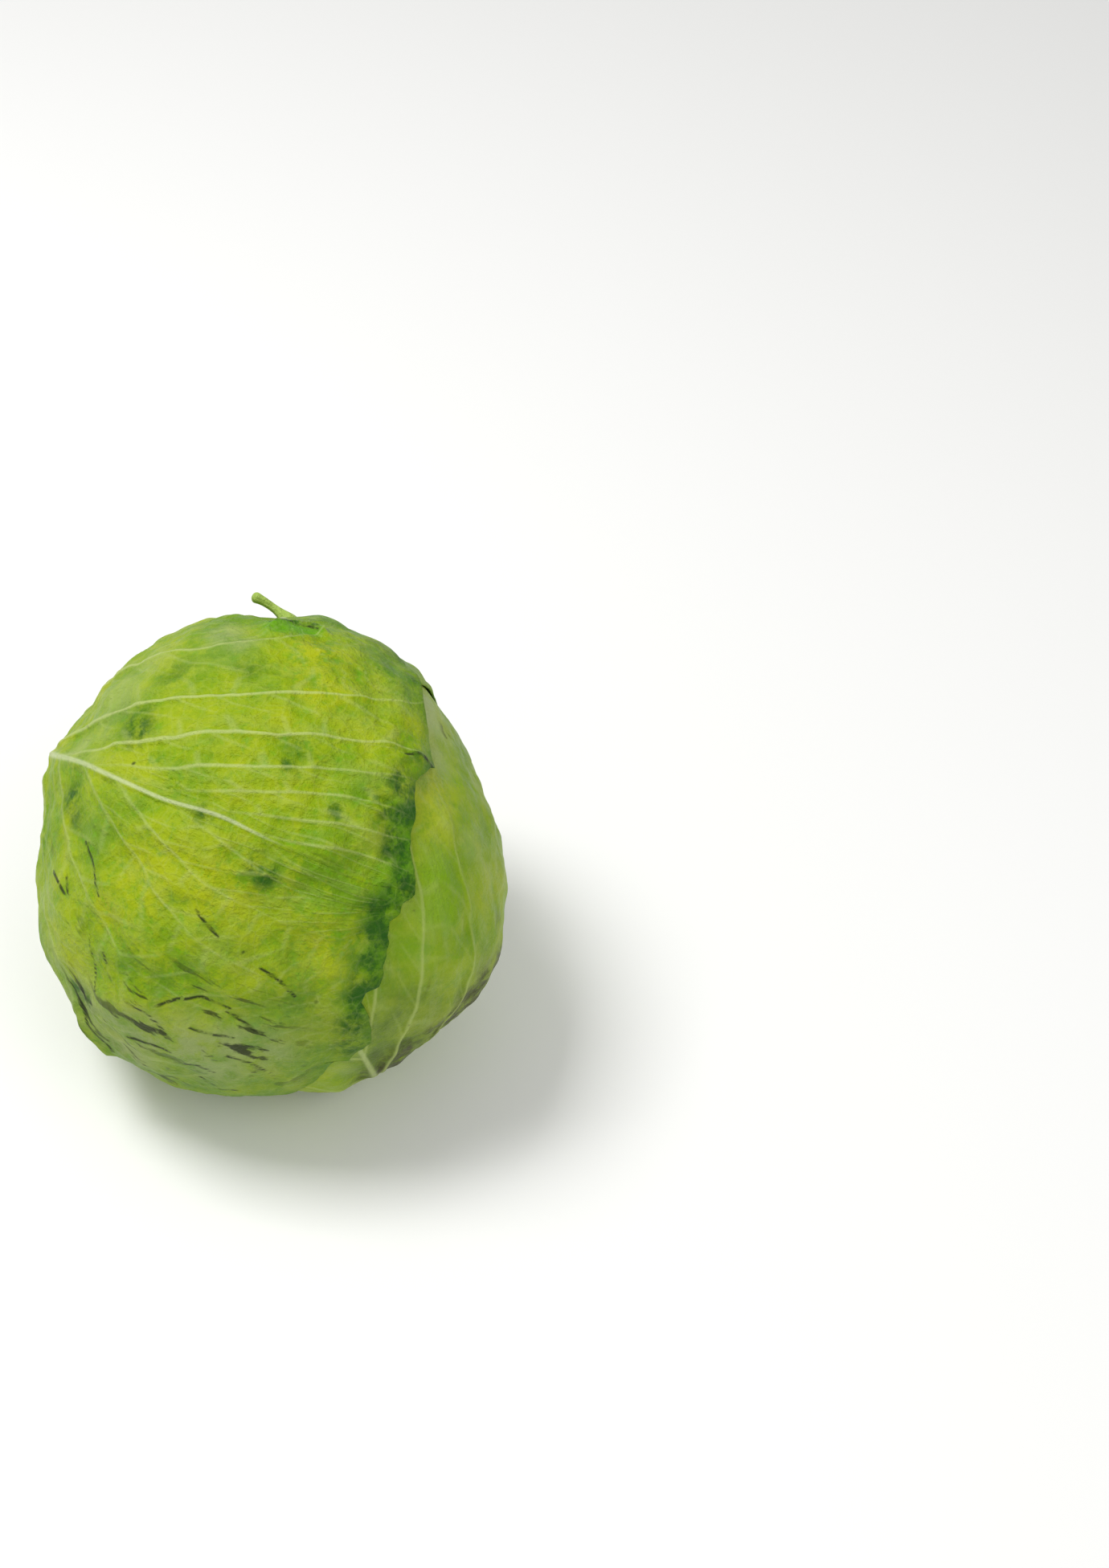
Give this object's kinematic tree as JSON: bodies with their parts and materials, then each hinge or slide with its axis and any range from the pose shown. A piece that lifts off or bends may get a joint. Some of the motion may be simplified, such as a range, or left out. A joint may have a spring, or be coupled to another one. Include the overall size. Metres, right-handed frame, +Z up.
{
  "type": "cabbage head",
  "caption": "Head of green cabbage lying on its side, a dense round heart under ribbed overlapping wrapper leaves, with a cut stem stub.",
  "frame": {"origin": "the point of the surface below the head's middle, at the middle of the flat spot that the head rests on", "axes": "+Z up; the crown looks up and towards -Y at about 48 degrees, the stem points down and towards +Y; +X is to the right as the crown is seen"},
  "size_m": [0.1731, 0.175, 0.1647],
  "materials": {
    "inner_leaves": "pale green cabbage leaf with a wax bloom",
    "stem": "cut cabbage stem, dry and fibrous",
    "wrapper_leaf": "green cabbage leaf with pale ribs and a wax bloom",
    "pale_wrapper_leaf": "smooth pale green cabbage leaf",
    "front_wrapper_leaf": "yellow-green cabbage leaf with pale ribs and a dark bruised margin"
  },
  "bodies": {
    "root": {"inner_head": "inner_leaves", "cut_stem": "stem", "wrapper_leaf_right": "wrapper_leaf", "wrapper_leaf_lower_left": "wrapper_leaf", "wrapper_leaf_pale": "pale_wrapper_leaf", "wrapper_leaf_top": "wrapper_leaf", "wrapper_leaf_front": "front_wrapper_leaf"}
  },
  "joints": []
}
